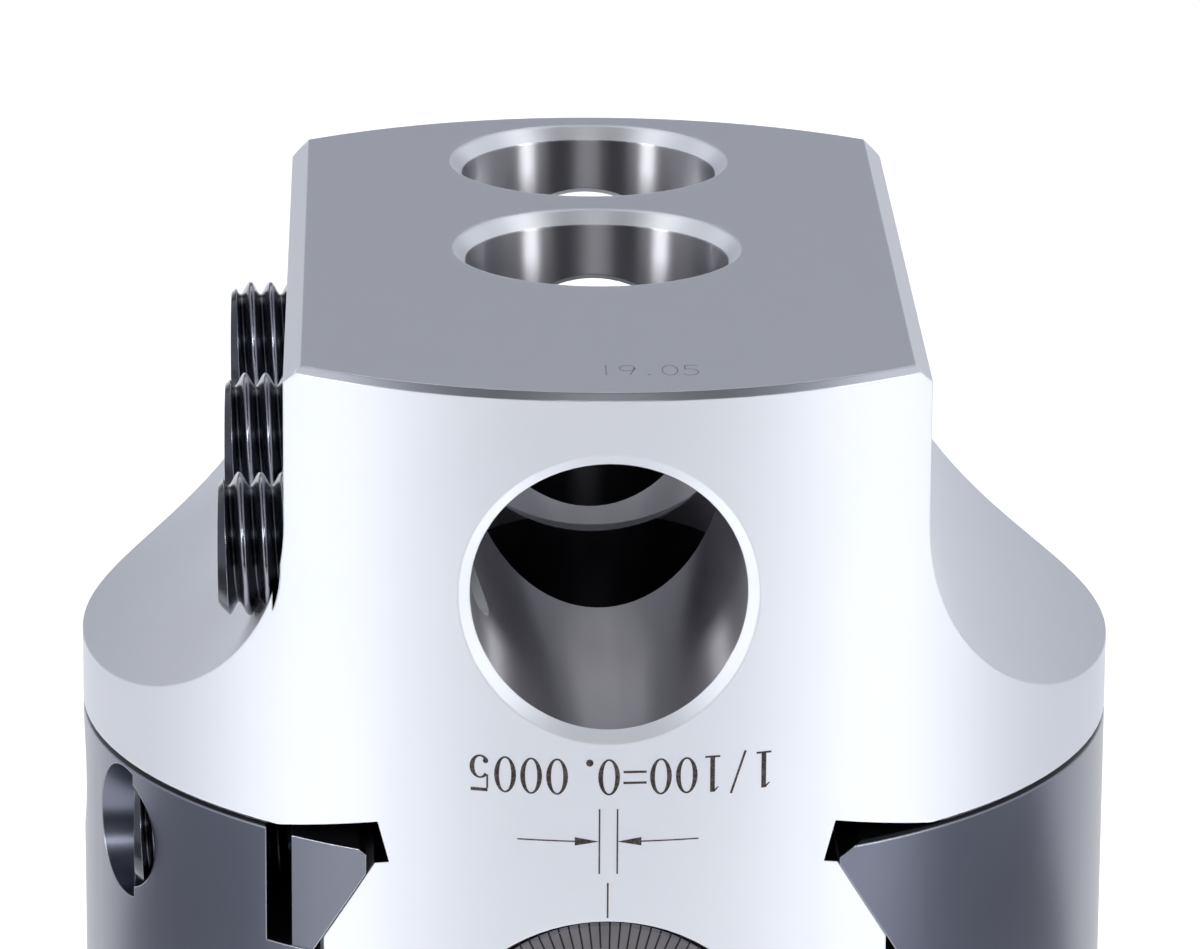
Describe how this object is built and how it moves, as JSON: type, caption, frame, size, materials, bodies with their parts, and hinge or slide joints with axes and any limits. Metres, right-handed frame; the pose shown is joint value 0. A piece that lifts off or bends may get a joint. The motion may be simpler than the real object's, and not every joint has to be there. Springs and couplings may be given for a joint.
{
  "type": "boring head",
  "caption": "Offset boring head with a dovetail slide, three bar bores, gib, clamp screws and a graduated adjusting screw.",
  "frame": {"origin": "centre of the mounting face, on the spindle axis", "axes": "+Z along the spindle axis towards the tool end, +Y along the slide's travel away from the dial, +X across the dovetail, away from the gib"},
  "size_m": [0.075, 0.075, 0.0802],
  "materials": {
    "black_oxide_steel": "turned steel, black oxide",
    "ground_steel": "fine ground, bright",
    "gib_steel": "hardened, dark satin",
    "satin_steel": "turned, satin",
    "dial_steel": "satin, with black filled graduations",
    "screw_steel": "black oxide, oiled",
    "bronze": "machined bronze",
    "brass_pad": "turned brass"
  },
  "bodies": {
    "head": {"head_body": "black_oxide_steel", "gib_strip": "gib_steel", "lead_nut": "bronze", "nut_screw_left": "screw_steel", "nut_screw_right": "screw_steel", "shank_lock_pad": "brass_pad"},
    "slide": {"bar_slide": "ground_steel", "thrust_washer": "bronze", "rear_bush": "bronze"},
    "dial_screw": {"adjusting_screw": "satin_steel", "micrometer_dial": "dial_steel", "dial_grub_screw": "screw_steel", "thrust_collar": "satin_steel", "collar_pin": "satin_steel"},
    "clamp_cross": {"clamp_screw_cross": "screw_steel"},
    "clamp_center": {"clamp_screw_center": "screw_steel"},
    "clamp_offset": {"clamp_screw_offset": "screw_steel"},
    "gib_front": {"gib_screw_front": "screw_steel"},
    "gib_lock": {"gib_lock_screw": "screw_steel"},
    "gib_rear": {"gib_screw_rear": "screw_steel"},
    "shank_lock": {"shank_lock_screw": "screw_steel"}
  },
  "joints": [
    {"name": "slide_travel", "type": "slide", "parent": "head", "child": "slide", "axis": [0, 1, 0], "range_m": [0, 0.0254]},
    {"name": "dial_turn", "type": "hinge", "parent": "slide", "child": "dial_screw", "pos_m": [0, -0.0368, 0.03026], "axis": [0, 1, 0], "range_deg": [0, 7200]},
    {"name": "clamp_cross_feed", "type": "slide", "parent": "slide", "child": "clamp_cross", "axis": [-1, 0, 0], "range_m": [-0.0016, 0.006]},
    {"name": "clamp_center_feed", "type": "slide", "parent": "slide", "child": "clamp_center", "axis": [-1, 0, 0], "range_m": [-0.0016, 0.006]},
    {"name": "clamp_offset_feed", "type": "slide", "parent": "slide", "child": "clamp_offset", "axis": [-1, 0, 0], "range_m": [-0.0016, 0.006]},
    {"name": "gib_front_feed", "type": "slide", "parent": "head", "child": "gib_front", "axis": [-1, 0, 0], "range_m": [0, 0.004]},
    {"name": "gib_lock_feed", "type": "slide", "parent": "head", "child": "gib_lock", "axis": [-1, 0, 0], "range_m": [0, 0.004]},
    {"name": "gib_rear_feed", "type": "slide", "parent": "head", "child": "gib_rear", "axis": [-1, 0, 0], "range_m": [0, 0.004]},
    {"name": "shank_lock_feed", "type": "slide", "parent": "head", "child": "shank_lock", "axis": [1, 0, 0], "range_m": [0, 0.004]}
  ],
  "couplings": [
    {"joint": "dial_turn", "follows": "slide_travel", "rad_per_m": 4947.4}
  ]
}
